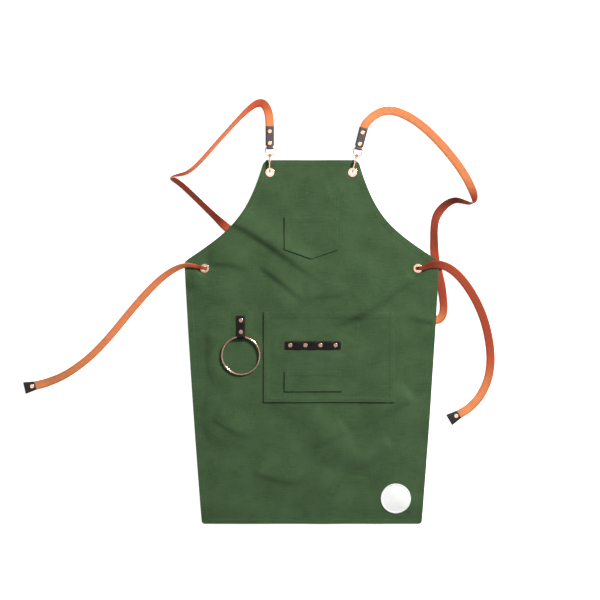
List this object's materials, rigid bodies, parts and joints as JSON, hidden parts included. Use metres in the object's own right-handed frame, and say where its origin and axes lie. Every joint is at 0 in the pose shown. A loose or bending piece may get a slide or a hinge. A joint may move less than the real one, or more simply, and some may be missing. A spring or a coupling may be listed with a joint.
{
  "type": "apron",
  "caption": "Canvas work apron laid flat, with cross-back webbing straps on snap hooks, eyelets, pockets, a leather tool strip and a hinged towel ring.",
  "frame": {"origin": "on the surface the apron lies on, under the middle of the cloth panel's box", "axes": "+Z away from the surface, out of the apron's front; +Y up the apron to the bib; +X to the right as seen from the front"},
  "size_m": [1.1013, 0.9911, 0.0212],
  "materials": {
    "canvas": "dark green cotton canvas, plain weave",
    "strap_webbing": "orange webbing, matte",
    "leather": "black-brown vegetable-tanned leather, satin",
    "copper": "bright rose copper plating",
    "spring_steel": "plain steel",
    "patch_white": "plain white woven patch"
  },
  "bodies": {
    "root": {"front_panel": "canvas", "chest_pocket": "canvas", "hip_pocket": "canvas", "tool_pocket": "canvas", "tool_strip": "leather", "ring_loop": "leather", "left_strap_tab": "leather", "right_strap_tab": "leather", "left_tie_tip": "leather", "right_tie_tip": "leather", "left_strap": "strap_webbing", "right_strap": "strap_webbing", "label_patch": "patch_white", "bib_eyelets": "copper", "bib_eyelet_washers": "copper", "waist_eyelets": "copper", "waist_eyelet_washers": "copper", "tool_strip_rivets": "copper", "tool_strip_rivet_bases": "copper", "ring_loop_rivets": "copper", "ring_loop_rivet_bases": "copper", "left_swivel_eye": "copper", "left_tab_rivets": "copper", "left_tab_rivet_bases": "copper", "left_tip_rivet": "copper", "left_tip_rivet_base": "copper", "right_swivel_eye": "copper", "right_tab_rivets": "copper", "right_tab_rivet_bases": "copper", "right_tip_rivet": "copper", "right_tip_rivet_base": "copper"},
    "towel_ring": {"towel_ring": "copper"},
    "left_hook": {"left_hook": "copper", "left_gate_pin": "spring_steel", "left_gate_spring": "spring_steel"},
    "left_gate": {"left_gate": "copper"},
    "right_hook": {"right_hook": "copper", "right_gate_pin": "spring_steel", "right_gate_spring": "spring_steel"},
    "right_gate": {"right_gate": "copper"}
  },
  "joints": [
    {"name": "towel_ring_swing", "type": "hinge", "parent": "root", "child": "towel_ring", "pos_m": [-0.164, 0.01256, 0.00975], "axis": [-1, 0, 0], "range_deg": [0, 175]},
    {"name": "left_hook_swivel", "type": "hinge", "parent": "root", "child": "left_hook", "pos_m": [-0.0965, 0.436, 0.006], "axis": [0, 1, 0], "range_deg": [-15, 15]},
    {"name": "left_gate_hinge", "type": "hinge", "parent": "left_hook", "child": "left_gate", "pos_m": [-0.0965, 0.4205, 0.01205], "axis": [1, 0, 0], "range_deg": [0, 14], "stiffness_Nm_per_rad": 0.02, "springref_deg": -20.05},
    {"name": "right_hook_swivel", "type": "hinge", "parent": "root", "child": "right_hook", "pos_m": [0.10618, 0.43481, 0.006], "axis": [0.2419, 0.9703, 0], "range_deg": [-15, 15]},
    {"name": "right_gate_hinge", "type": "hinge", "parent": "right_hook", "child": "right_gate", "pos_m": [0.10243, 0.41977, 0.01205], "axis": [0.9703, -0.2419, 0], "range_deg": [0, 14], "stiffness_Nm_per_rad": 0.02, "springref_deg": -20.05}
  ]
}
